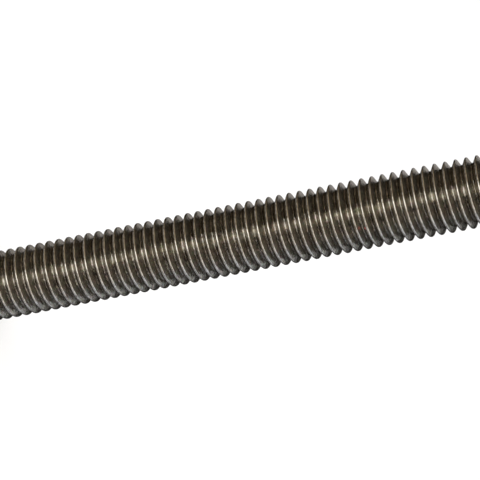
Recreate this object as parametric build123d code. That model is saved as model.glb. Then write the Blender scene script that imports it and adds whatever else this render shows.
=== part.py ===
from build123d import *
import os
from math import ceil, cos, radians, sin, tan, tau

# A fully threaded steel rod, M10 x 1.5: one bar with a right-hand, single-start thread along its whole
# length and both ends cut square and chamfered. It stands on its foot end. +Z runs along its axis, and
# the origin is the centre of the foot end's face. Sizes are in millimetres, angles in degrees.

LENGTH = 80.0
MAJOR_DIAMETER = 9.85  # over the crests: a nominal 10 in the middle of its usual tolerance
PITCH = 1.5
FLANK_ANGLE = 60.0  # between the two flanks of one groove
CREST_FLAT = PITCH / 8  # width of the land left on top of each turn
ROOT_FLAT = PITCH / 6  # width of the groove's floor
CHAMFER_ANGLE = 45.0  # between the chamfer and the rod's axis
END_STEP = 0.1  # how far the end face's edge lies inside the thread's root
BLANK_MARGIN = 0.5  # how far the bar that trims the ends reaches past the crests
CHORDS_PER_TURN = 24  # straight runs that each turn of the helix is drawn in
SPARE_TURNS = 2  # turns past each end, which the end cuts take off again

CREST_RADIUS = MAJOR_DIAMETER / 2
FLANK_RISE = (PITCH - CREST_FLAT - ROOT_FLAT) / 2
THREAD_DEPTH = FLANK_RISE / tan(radians(FLANK_ANGLE / 2))
ROOT_RADIUS = CREST_RADIUS - THREAD_DEPTH
END_RADIUS = ROOT_RADIUS - END_STEP

# One pitch of the thread's profile as (radius, height), from the lower edge of one crest to the next.
PROFILE = [
    (CREST_RADIUS, 0.0),
    (CREST_RADIUS, CREST_FLAT),
    (ROOT_RADIUS, CREST_FLAT + FLANK_RISE),
    (ROOT_RADIUS, CREST_FLAT + FLANK_RISE + ROOT_FLAT),
    (CREST_RADIUS, PITCH),
]
CREST, LOWER_FLANK, ROOT, UPPER_FLANK = range(4)


def helix_point(corner, step):
    """The place of one corner of the profile after so many chords of a right-hand helix."""
    radius, height = PROFILE[corner]
    angle = tau * (step % CHORDS_PER_TURN) / CHORDS_PER_TURN
    climb = PITCH * step / CHORDS_PER_TURN
    return Vector(radius * cos(angle), radius * sin(angle), height + climb)


def flat_face(*points):
    """A plane face through the given points, in order."""
    return Face(Wire.make_polygon(points, close=True))


def thread_chord(step):
    """The faces of one chord of the thread: crest, two flanks, which twist and so are halved, and root."""
    faces = []
    for strip in (CREST, LOWER_FLANK, ROOT, UPPER_FLANK):
        start, end = helix_point(strip, step), helix_point(strip, step + 1)
        far_start, far_end = helix_point(strip + 1, step), helix_point(strip + 1, step + 1)
        if strip in (CREST, ROOT):
            faces.append(flat_face(start, end, far_end, far_start))
        else:
            faces.append(flat_face(start, end, far_end))
            faces.append(flat_face(start, far_end, far_start))
    return faces


def end_fan(step, tip_height):
    """Triangles from a tip on the axis that close the skin where the helix starts or stops."""
    tip = Vector(0, 0, tip_height)
    last_turn = [helix_point(CREST, step + chord) for chord in range(CHORDS_PER_TURN + 1)]
    groove_wall = [helix_point(corner, step) for corner in (UPPER_FLANK, ROOT, LOWER_FLANK)]
    border = last_turn + groove_wall
    return [flat_face(tip, near, far) for near, far in zip(border, border[1:] + border[:1])]


def endless_thread():
    """The threaded bar, longer than the rod at both ends and with rough, fanned ends."""
    first = -SPARE_TURNS * CHORDS_PER_TURN
    last = (ceil(LENGTH / PITCH) + SPARE_TURNS) * CHORDS_PER_TURN
    faces = [face for step in range(first, last) for face in thread_chord(step)]
    faces += end_fan(first, PITCH * (first / CHORDS_PER_TURN - 1))
    faces += end_fan(last, PITCH * (last / CHORDS_PER_TURN + 2))
    return Solid(Shell(faces))


def end_blank():
    """A turned bar wider than the thread, with the rod's length, square ends and chamfers."""
    blank_radius = CREST_RADIUS + BLANK_MARGIN
    chamfer_run = (blank_radius - END_RADIUS) / tan(radians(CHAMFER_ANGLE))
    outline = [
        Vector(0, 0, 0),
        Vector(END_RADIUS, 0, 0),
        Vector(blank_radius, 0, chamfer_run),
        Vector(blank_radius, 0, LENGTH - chamfer_run),
        Vector(END_RADIUS, 0, LENGTH),
        Vector(0, 0, LENGTH),
    ]
    return Solid.revolve(flat_face(*outline), 360, Axis.Z)


rod = endless_thread() & end_blank()
rod.label = "rod"

os.makedirs("parts", exist_ok=True)
export_step(rod, "parts/rod.step")
print("rod", rod.volume, rod.bounding_box().size, len(rod.faces()), "faces")
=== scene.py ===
import math

import bpy
from mathutils import Matrix, Vector


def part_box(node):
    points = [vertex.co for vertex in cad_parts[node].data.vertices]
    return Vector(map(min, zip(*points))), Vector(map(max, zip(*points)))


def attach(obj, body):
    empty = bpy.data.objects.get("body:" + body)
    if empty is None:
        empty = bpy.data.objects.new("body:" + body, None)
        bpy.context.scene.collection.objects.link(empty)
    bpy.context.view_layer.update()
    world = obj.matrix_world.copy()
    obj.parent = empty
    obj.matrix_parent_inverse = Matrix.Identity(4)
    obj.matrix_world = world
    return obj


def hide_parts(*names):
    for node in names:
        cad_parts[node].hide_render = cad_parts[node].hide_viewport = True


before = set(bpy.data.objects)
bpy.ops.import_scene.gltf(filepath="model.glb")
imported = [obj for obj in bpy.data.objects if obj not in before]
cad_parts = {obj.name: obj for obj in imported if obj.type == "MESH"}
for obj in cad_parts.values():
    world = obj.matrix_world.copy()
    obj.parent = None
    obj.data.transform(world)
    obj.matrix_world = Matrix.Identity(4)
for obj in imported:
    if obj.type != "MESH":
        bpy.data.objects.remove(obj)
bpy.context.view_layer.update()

# Camera: the photo looks along the rod from its top end's side, 15 degrees off square, with a long lens,
# and the rod crosses the picture and rises to the right. The rod stands here, so the camera is rolled.
# The picture is 480 pixels wide and shows about 47 turns; both ends lie outside it.
CAMERA_PLACE = Vector((0.0, -0.375451, 0.139512))
AIM = Vector((0.000235, 0.0, 0.039131))
CAMERA_ROLL = math.radians(78.89)
LENS_MM = 207.8
SENSOR_MM = 36.0

camera_data = bpy.data.cameras.new("camera")
camera_data.lens = LENS_MM
camera_data.sensor_width = SENSOR_MM
camera_data.sensor_fit = "HORIZONTAL"
camera_data.clip_start = 0.01
camera_data.clip_end = 20.0
camera = bpy.data.objects.new("camera", camera_data)
bpy.context.collection.objects.link(camera)
level_view = (AIM - CAMERA_PLACE).to_track_quat("-Z", "Y").to_matrix().to_4x4()
camera.matrix_world = Matrix.Translation(CAMERA_PLACE) @ level_view @ Matrix.Rotation(CAMERA_ROLL, 4, "Z")
bpy.context.scene.camera = camera
bpy.context.scene.view_settings.view_transform = "Standard"

# Floor and softbox: a plain sheet of white paper, and a white softbox in front and above. Both are far
# larger than the rod, as on a table top. The steel mirrors neither, only the light tent below, and the
# softbox throws no shadow, as the photo has none.
FLOOR_SIZE = 6.0
SOFTBOX_WIDTH = 1.7
SOFTBOX_HEIGHT = 0.8
SOFTBOX_DISTANCE = 1.0
SOFTBOX_ELEVATION = math.radians(55)
SOFTBOX_WATTS = 5.4


def linear(hex_colour):
    """An sRGB hex colour, such as 'a08c70', as linear red, green, blue and alpha."""
    shares = [int(hex_colour[i:i + 2], 16) / 255 for i in (0, 2, 4)]
    return [c / 12.92 if c <= 0.04045 else ((c + 0.055) / 1.055) ** 2.4 for c in shares] + [1.0]


bpy.ops.mesh.primitive_plane_add(size=FLOOR_SIZE)
floor = bpy.context.object
floor.name = "floor"
floor.visible_glossy = False
# Uncoated paper, pressed and matt: an even white with no gloss.
paper = bpy.data.materials.new("white_paper")
paper.use_nodes = True
paper_shader = paper.node_tree.nodes["Principled BSDF"]
paper_shader.inputs["Base Color"].default_value = linear("f2f2f2")
paper_shader.inputs["Roughness"].default_value = 0.9
paper_shader.inputs["Specular IOR Level"].default_value = 0.0
floor.data.materials.append(paper)

softbox_data = bpy.data.lights.new("softbox", "AREA")
softbox_data.shape = "RECTANGLE"
softbox_data.size = SOFTBOX_WIDTH
softbox_data.size_y = SOFTBOX_HEIGHT
softbox_data.energy = SOFTBOX_WATTS
softbox_data.color = linear("fffaf2")[:3]
softbox_data.use_shadow = False
softbox = bpy.data.objects.new("softbox", softbox_data)
softbox_way = Vector((0.0, -math.cos(SOFTBOX_ELEVATION), math.sin(SOFTBOX_ELEVATION)))
softbox.visible_glossy = False
softbox.location = AIM + SOFTBOX_DISTANCE * softbox_way
softbox.rotation_euler = (-softbox_way).to_track_quat("-Z", "Y").to_euler()
bpy.context.collection.objects.link(softbox)

# Light tent: what the steel mirrors. Soft panes of light stand all round the rod, with tints and strengths
# matched to the photo's highlights. The camera itself sees plain white cloth, which also lights the paper.

# Each pane is placed by azimuth and elevation from the rod, and sized by width and height, in degrees.
# Azimuth 0 is the camera's side, and plus is to the rod's right seen from there.
PANES = {
    "front strip": {"at": (-14, 16), "size": (29, 100), "glow": 1.1, "colour": "fffdf8"},
    "strip centre": {"at": (-22, 8), "size": (28, 46), "glow": 0.5, "colour": "ffffff"},
    "right": {"at": (94, -10), "size": (92, 75), "glow": 0.095, "colour": "f8f8ff"},
    "upper right": {"at": (42, 46), "size": (66, 38), "glow": 0.87, "colour": "f7f2ef"},
    "upper back right": {"at": (116, 46), "size": (82, 38), "glow": 0.87, "colour": "eef4ff"},
    "overhead": {"at": (-16, 65), "size": (187, 86), "glow": 0.3, "colour": "ffe9c6"},
    "under right": {"at": (32, -46), "size": (88, 42), "glow": 0.62, "colour": "f9f3f2"},
    "under back right": {"at": (104, -46), "size": (56, 42), "glow": 0.62, "colour": "f2f4ff"},
    "under left": {"at": (-106, -63), "size": (105, 65), "glow": 0.5, "colour": "fff8f5"},
    "left": {"at": (-80, 25), "size": (120, 60), "glow": 0.09, "colour": "ffe4bc"},
    "back left": {"at": (-172, 15), "size": (28, 34), "glow": 0.55, "colour": "fdf8f8"},
    "back top": {"at": (180, 62), "size": (50, 44), "glow": 0.5, "colour": "fffaf2"},
    "under back": {"at": (180, -55), "size": (60, 44), "glow": 0.4, "colour": "fffaf2"},
}
PANE_EDGE = 10  # degrees over which a pane fades
DIM_GLOW = 0.01
WHITE_GLOW = 1.0

MATH = "ShaderNodeMath"
tent = bpy.data.worlds.new("light_tent")
bpy.context.scene.world = tent
tent.use_nodes = True
tree = tent.node_tree
tree.nodes.clear()


def add(tree, kind, inputs=None, **settings):
    """Adds a node with its settings. Each input is a value, a socket, or a node, for its first output."""
    node = tree.nodes.new(kind)
    for name, value in settings.items():
        setattr(node, name, value)
    for socket, given in (inputs or {}).items():
        if isinstance(given, bpy.types.Node):
            given = given.outputs[0]
        if isinstance(given, bpy.types.NodeSocket):
            tree.links.new(given, node.inputs[socket])
        else:
            node.inputs[socket].default_value = given
    return node


direction = add(tree, "ShaderNodeTexCoord").outputs["Generated"]
way = add(tree, "ShaderNodeSeparateXYZ", {0: direction}).outputs
forward = add(tree, MATH, {0: way["Y"], 1: -1.0}, operation="MULTIPLY")
bearing = add(tree, MATH, {0: way["X"], 1: forward}, operation="ARCTAN2")
azimuth = add(tree, MATH, {0: bearing}, operation="DEGREES")
rise = add(tree, MATH, {0: way["Z"]}, operation="ARCSINE")
elevation = add(tree, MATH, {0: rise}, operation="DEGREES")
mirrored = add(tree, "ShaderNodeBackground", {"Color": linear("ffecd2"), "Strength": DIM_GLOW})
for pane in PANES.values():
    turned = add(tree, MATH, {0: azimuth, 1: pane["at"][0]}, operation="SUBTRACT")
    aside = add(tree, MATH, {0: turned, 1: 180.0, 2: -180.0}, operation="WRAP")
    above = add(tree, MATH, {0: elevation, 1: pane["at"][1]}, operation="SUBTRACT")
    glow = pane["glow"]
    for offset, size in zip((aside, above), pane["size"]):
        distance = add(tree, MATH, {0: offset}, operation="ABSOLUTE")
        inside = add(
            tree, "ShaderNodeMapRange",
            {"Value": distance, "From Min": (size + PANE_EDGE) / 2, "From Max": (size - PANE_EDGE) / 2},
            interpolation_type="SMOOTHSTEP",
        )
        glow = add(tree, MATH, {0: inside, 1: glow}, operation="MULTIPLY")
    lit = add(tree, "ShaderNodeBackground", {"Color": linear(pane["colour"]), "Strength": glow})
    mirrored = add(tree, "ShaderNodeAddShader", {0: mirrored, 1: lit})
cloth = add(tree, "ShaderNodeBackground", {"Color": linear("ffffff"), "Strength": WHITE_GLOW})
glossy_ray = add(tree, "ShaderNodeLightPath").outputs["Is Glossy Ray"]
seen = add(tree, "ShaderNodeMixShader", {0: glossy_ray, 1: cloth, 2: mirrored})
add(tree, "ShaderNodeOutputWorld", {"Surface": seen})

# Rod: one bar of plain low-carbon steel with an M10 x 1.5 thread rolled on it, cut off square and
# chamfered. Rolling leaves dark, slightly oily flanks and a rounded root; nuts and hands have worn
# the crests bright. One grid, a turn's profile wide, is wound into the right-hand helix.
MM = 0.001
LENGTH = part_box("rod")[1][2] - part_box("rod")[0][2]
CREST_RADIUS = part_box("rod")[1][0]
PITCH = 1.5 * MM
CREST_FLAT = PITCH / 8
FLANK_SLOPE = math.tan(math.radians(60))  # radial fall for each unit along the rod
THREAD_DEPTH = 0.92 * MM
CREST_ROUND = 0.15 * MM
ROOT_ROUND = 0.25 * MM
END_RADIUS = CREST_RADIUS - THREAD_DEPTH - 0.1 * MM
STEPS_PER_TURN = 64
STEPS_PER_PITCH = 24
SPARE_TURNS = 4  # turns past each end, which wind inwards over its flat face and close it at the axis
MERGE_DISTANCE = 0.001 * MM


def thread_tree():
    """A node tree that makes the whole rod's skin: a grid wound into a right-hand helix."""
    tree = bpy.data.node_groups.new("rolled_thread", "GeometryNodeTree")
    sockets = tree.interface
    sockets.new_socket("Geometry", in_out="INPUT", socket_type="NodeSocketGeometry")
    for name in (
        "Length", "Crest Radius", "Pitch", "Crest Flat", "Depth", "Crest Round", "Root Round", "End Radius",
    ):
        sockets.new_socket(name, in_out="INPUT", socket_type="NodeSocketFloat")
    sockets.new_socket("Material", in_out="INPUT", socket_type="NodeSocketMaterial")
    sockets.new_socket("Geometry", in_out="OUTPUT", socket_type="NodeSocketGeometry")
    size = add(tree, "NodeGroupInput").outputs

    # The grid lies along Y, one unit a turn, and X runs across one pitch from -0.5 to 0.5.
    part_turns = add(tree, MATH, {0: size["Length"], 1: size["Pitch"]}, operation="DIVIDE")
    whole_turns = add(tree, MATH, {0: part_turns}, operation="CEIL")
    turns = add(tree, MATH, {0: whole_turns, 1: 2.0 * SPARE_TURNS}, operation="ADD")
    rows = add(tree, MATH, {0: turns, 1: STEPS_PER_TURN, 2: 1.0}, operation="MULTIPLY_ADD")
    grid = add(
        tree, "GeometryNodeMeshGrid",
        {"Size X": 1.0, "Vertices X": STEPS_PER_PITCH + 1, "Size Y": turns, "Vertices Y": rows},
    )
    place = add(tree, "ShaderNodeSeparateXYZ", {0: add(tree, "GeometryNodeInputPosition")}).outputs
    across = add(tree, MATH, {0: place["X"], 1: size["Pitch"]}, operation="MULTIPLY")
    from_start = add(tree, MATH, {0: turns, 1: 0.5, 2: place["Y"]}, operation="MULTIPLY_ADD")
    turn = add(tree, MATH, {0: from_start, 1: SPARE_TURNS}, operation="SUBTRACT")

    # The profile: a flank falls from the crest's edge, rounded into the crest and into the root.
    crest_half = add(tree, MATH, {0: size["Crest Flat"], 1: 0.5}, operation="MULTIPLY")
    off_middle = add(tree, MATH, {0: across}, operation="ABSOLUTE")
    off_crest = add(tree, MATH, {0: off_middle, 1: crest_half}, operation="SUBTRACT")
    fall = add(tree, MATH, {0: off_crest, 1: FLANK_SLOPE}, operation="MULTIPLY")
    flank = add(tree, MATH, {0: size["Crest Radius"], 1: fall}, operation="SUBTRACT")
    topped = add(
        tree, MATH, {0: flank, 1: size["Crest Radius"], 2: size["Crest Round"]}, operation="SMOOTH_MIN"
    )
    root = add(tree, MATH, {0: size["Crest Radius"], 1: size["Depth"]}, operation="SUBTRACT")
    threaded = add(tree, MATH, {0: topped, 1: root, 2: size["Root Round"]}, operation="SMOOTH_MAX")

    # The ends: no point lies outside the 45-degree chamfers or past the square cuts.
    climb = add(tree, MATH, {0: turn, 1: size["Pitch"], 2: across}, operation="MULTIPLY_ADD")
    height = add(tree, MATH, {0: climb, 1: crest_half}, operation="ADD")
    to_top = add(tree, MATH, {0: size["Length"], 1: height}, operation="SUBTRACT")
    to_end = add(tree, MATH, {0: height, 1: to_top}, operation="MINIMUM")
    chamfer = add(tree, MATH, {0: to_end, 1: size["End Radius"]}, operation="ADD")
    trimmed = add(tree, MATH, {0: threaded, 1: chamfer}, operation="MINIMUM")
    was_cut = add(tree, MATH, {0: threaded, 1: chamfer}, operation="GREATER_THAN")
    radius = add(tree, MATH, {0: trimmed, 1: 0.0}, operation="MAXIMUM")
    above_foot = add(tree, MATH, {0: height, 1: 0.0}, operation="MAXIMUM")
    level = add(tree, MATH, {0: above_foot, 1: size["Length"]}, operation="MINIMUM")

    # The winding: each point goes to its angle round the rod, and takes along where it lies across the
    # pitch, in millimetres, and whether an end cut has moved it. The steel reads both.
    angle = add(tree, MATH, {0: turn, 1: math.tau}, operation="MULTIPLY")
    cosine = add(tree, MATH, {0: angle}, operation="COSINE")
    sine = add(tree, MATH, {0: angle}, operation="SINE")
    x = add(tree, MATH, {0: radius, 1: cosine}, operation="MULTIPLY")
    y = add(tree, MATH, {0: radius, 1: sine}, operation="MULTIPLY")
    wound = add(tree, "ShaderNodeCombineXYZ", {"X": x, "Y": y, "Z": level})
    across_mm = add(tree, MATH, {0: across, 1: MM}, operation="DIVIDE")
    marked = grid
    for name, value in (("across", across_mm), ("cut", was_cut)):
        marked = add(
            tree, "GeometryNodeStoreNamedAttribute", {"Geometry": marked, "Name": name, "Value": value}
        )
    moved = add(tree, "GeometryNodeSetPosition", {"Geometry": marked, "Position": wound})
    closed = add(tree, "GeometryNodeMergeByDistance", {"Geometry": moved, "Distance": MERGE_DISTANCE})
    outward = add(tree, "GeometryNodeFlipFaces", {"Mesh": closed})
    smooth = add(tree, "GeometryNodeSetShadeSmooth", {"Geometry": outward})
    real = add(tree, "GeometryNodeRealizeInstances", {0: smooth})
    dressed = add(tree, "GeometryNodeSetMaterial", {"Geometry": real, "Material": size["Material"]})
    add(tree, "NodeGroupOutput", {0: dressed})
    return tree


# Streaks of the finish, drawn out round the rod, each with its length and width in millimetres and its
# detail. Real roll marks are a few hundredths of a millimetre wide, and a pixel of the render is 0.15 mm,
# so both kinds of marks, and the rings on the end faces, are drawn about that wide to show at all.
STREAKS = {
    "roll marks": (0.7, 0.2, 3.0),
    "root marks": (0.75, 0.14, 2.0),
    "dirt": (0.55, 0.3, 4.0),
    "rubbing": (2.6, 1.4, 3.0),
    "grime": (2.2, 0.8, 4.0),
    "film": (0.45, 0.28, 3.0),
}
RING_WIDTH = 0.18  # millimetres
FILM_SHARE = 0.3  # how strongly the oil film tints the steel
MARK_HEIGHT = 0.35 * MM  # at full strength, of which each part of the surface takes its share

# The worn crest line, in millimetres from the crest's middle, plus being towards the top end.
WEAR_MIDDLE = 0.03
WEAR_INSIDE = 0.06  # bright all over within this of the line's middle
WEAR_OUTSIDE = 0.11  # not worn beyond this
WEAR_WANDER = 0.12  # how much both edges wander

# The root, in millimetres above the groove's floor.
ROOT_INSIDE = 0.04
ROOT_OUTSIDE = 0.12

# Two specks of rust sit in the grooves, placed and sized in millimetres.
SPECKS = {
    "red": {"at": (2.0, -3.93, 57.88), "radius": 0.26, "colour": "f0807a"},
    "pale": {"at": (2.24, -3.46, 42.8), "radius": 0.16, "colour": "e8ccc2"},
}

MIX = "ShaderNodeMix"  # the share is input 0; numbers go to 2 and 3; colours go to 6 and 7, out at 2


def plain_steel():
    """Plain carbon steel, cold rolled and left uncoated. The rollers leave fine marks along the thread and
    a smooth, shiny root. Oil and dirt keep the flanks a dark warm grey, an oil film tints them unevenly,
    grime lies in patches in the root, and rubbing has worn the crests to bright metal. The sawn and
    turned ends are paler, with rings from the tool, and two specks of rust are dull."""
    material = bpy.data.materials.new("plain_steel_rolled")
    material.use_nodes = True
    tree = material.node_tree
    shader = tree.nodes["Principled BSDF"]
    place = add(tree, "ShaderNodeTexCoord").outputs["Object"]
    in_mm = add(tree, "ShaderNodeVectorMath", {0: place, "Scale": 1 / MM}, operation="SCALE")
    off_axis = add(tree, "ShaderNodeVectorMath", {0: in_mm, 1: (1.0, 1.0, 0.0)}, operation="MULTIPLY")
    radius = add(tree, "ShaderNodeVectorMath", {0: off_axis}, operation="LENGTH").outputs["Value"]

    streak = {}
    for name, (along, wide, detail) in STREAKS.items():
        stretch = (1 / along, 1 / along, 1 / wide)
        drawn_out = add(tree, "ShaderNodeVectorMath", {0: in_mm, 1: stretch}, operation="MULTIPLY")
        noise = {"Vector": drawn_out, "Scale": 1.0, "Detail": detail, "Roughness": 0.6}
        streak[name] = add(tree, "ShaderNodeTexNoise", noise).outputs
    rings = add(
        tree, "ShaderNodeTexNoise", {"W": radius, "Scale": 1 / RING_WIDTH, "Detail": 2.0},
        noise_dimensions="1D",
    )

    # Masks: 1 on the worn crest line, in the root, where dirt or grime is thin, and on the end cuts.
    across = add(tree, "ShaderNodeAttribute", attribute_name="across").outputs["Fac"]
    from_line = add(tree, MATH, {0: across, 1: WEAR_MIDDLE}, operation="SUBTRACT")
    off_line = add(tree, MATH, {0: from_line}, operation="ABSOLUTE")
    wander = add(
        tree, MATH, {0: streak["rubbing"]["Fac"], 1: WEAR_WANDER, 2: -WEAR_WANDER / 2},
        operation="MULTIPLY_ADD",
    )
    worn_off = add(tree, MATH, {0: off_line, 1: wander}, operation="ADD")
    groove_floor = (CREST_RADIUS - THREAD_DEPTH) / MM
    mask = {}
    for name, value, none, full in (
        ("wear", worn_off, WEAR_OUTSIDE, WEAR_INSIDE),
        ("root", radius, groove_floor + ROOT_OUTSIDE, groove_floor + ROOT_INSIDE),
        ("thin dirt", streak["dirt"]["Fac"], 0.35, 0.65),
        ("thin grime", streak["grime"]["Fac"], 0.4, 0.6),
    ):
        mask[name] = add(
            tree, "ShaderNodeMapRange", {"Value": value, "From Min": none, "From Max": full},
            interpolation_type="SMOOTHSTEP",
        )
    mask["cut"] = add(tree, "ShaderNodeAttribute", attribute_name="cut").outputs["Fac"]

    # Colour: flanks and root from dirty to clean, the oil film over both, then the bright crest line.
    flank_colour = add(
        tree, MIX, {0: mask["thin dirt"], 6: linear("979083"), 7: linear("b4afa2")}, data_type="RGBA"
    ).outputs[2]
    root_colour = add(
        tree, MIX, {0: mask["thin grime"], 6: linear("867e70"), 7: linear("d0cac0")}, data_type="RGBA"
    ).outputs[2]
    colour = add(tree, MIX, {0: mask["root"], 6: flank_colour, 7: root_colour}, data_type="RGBA").outputs[2]
    colour = add(
        tree, MIX, {0: FILM_SHARE, 6: colour, 7: streak["film"]["Color"]},
        data_type="RGBA", blend_type="OVERLAY",
    ).outputs[2]
    colour = add(tree, MIX, {0: mask["wear"], 6: colour, 7: linear("ece8e0")}, data_type="RGBA").outputs[2]
    rust = 0.0
    for speck in SPECKS.values():
        away = add(tree, "ShaderNodeVectorMath", {0: in_mm, 1: speck["at"]}, operation="DISTANCE")
        spot = add(
            tree, "ShaderNodeMapRange",
            {"Value": away.outputs["Value"], "From Min": speck["radius"], "From Max": speck["radius"] / 2},
        )
        rust = add(tree, MATH, {0: rust, 1: spot}, operation="MAXIMUM")
        colour = add(
            tree, MIX, {0: spot, 6: colour, 7: linear(speck["colour"])}, data_type="RGBA"
        ).outputs[2]
    colour = add(tree, MIX, {0: mask["cut"], 6: colour, 7: linear("b4afa5")}, data_type="RGBA").outputs[2]
    tree.links.new(colour, shader.inputs["Base Color"])

    # Rust is no metal, so it takes no mirror images.
    bare = add(tree, MATH, {0: 1.0, 1: rust}, operation="SUBTRACT")
    tree.links.new(bare.outputs[0], shader.inputs["Metallic"])

    # Roughness of the flanks, the worn line, the root and the ends, and the height of the marks on each.
    roughness = 0.23
    for name, value in (("wear", 0.15), ("root", 0.08), ("cut", 0.3)):
        roughness = add(tree, MIX, {0: mask[name], 2: roughness, 3: value}, data_type="FLOAT")
    tree.links.new(roughness.outputs[0], shader.inputs["Roughness"])
    marks = streak["roll marks"]["Fac"]
    for name, value in (("root", streak["root marks"]["Fac"]), ("cut", rings.outputs[0])):
        marks = add(tree, MIX, {0: mask[name], 2: marks, 3: value}, data_type="FLOAT")
    strength = 0.3
    for name, value in (("root", 0.36), ("wear", 0.24), ("cut", 0.12)):
        strength = add(tree, MIX, {0: mask[name], 2: strength, 3: value}, data_type="FLOAT")
    bump = add(tree, "ShaderNodeBump", {"Distance": MARK_HEIGHT, "Strength": strength, "Height": marks})
    tree.links.new(bump.outputs[0], shader.inputs["Normal"])
    return material


steel = plain_steel()
rod = bpy.data.objects.new("threaded_rod", bpy.data.meshes.new("threaded_rod"))
bpy.context.collection.objects.link(rod)
winding = rod.modifiers.new("thread", "NODES")
winding.node_group = thread_tree()
thread_sizes = {
    "Length": LENGTH,
    "Crest Radius": CREST_RADIUS,
    "Pitch": PITCH,
    "Crest Flat": CREST_FLAT,
    "Depth": THREAD_DEPTH,
    "Crest Round": CREST_ROUND,
    "Root Round": ROOT_ROUND,
    "End Radius": END_RADIUS,
    "Material": steel,
}
for item in winding.node_group.interface.items_tree:
    if item.in_out == "INPUT" and item.name in thread_sizes:
        winding[item.identifier] = thread_sizes[item.name]
evaluated = rod.evaluated_get(bpy.context.evaluated_depsgraph_get())
finished = bpy.data.meshes.new_from_object(evaluated)
rod.modifiers.remove(winding)
rod.data = finished
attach(rod, "root")
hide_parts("rod")
print("rod", len(finished.vertices), "vertices", len(finished.polygons), "faces")
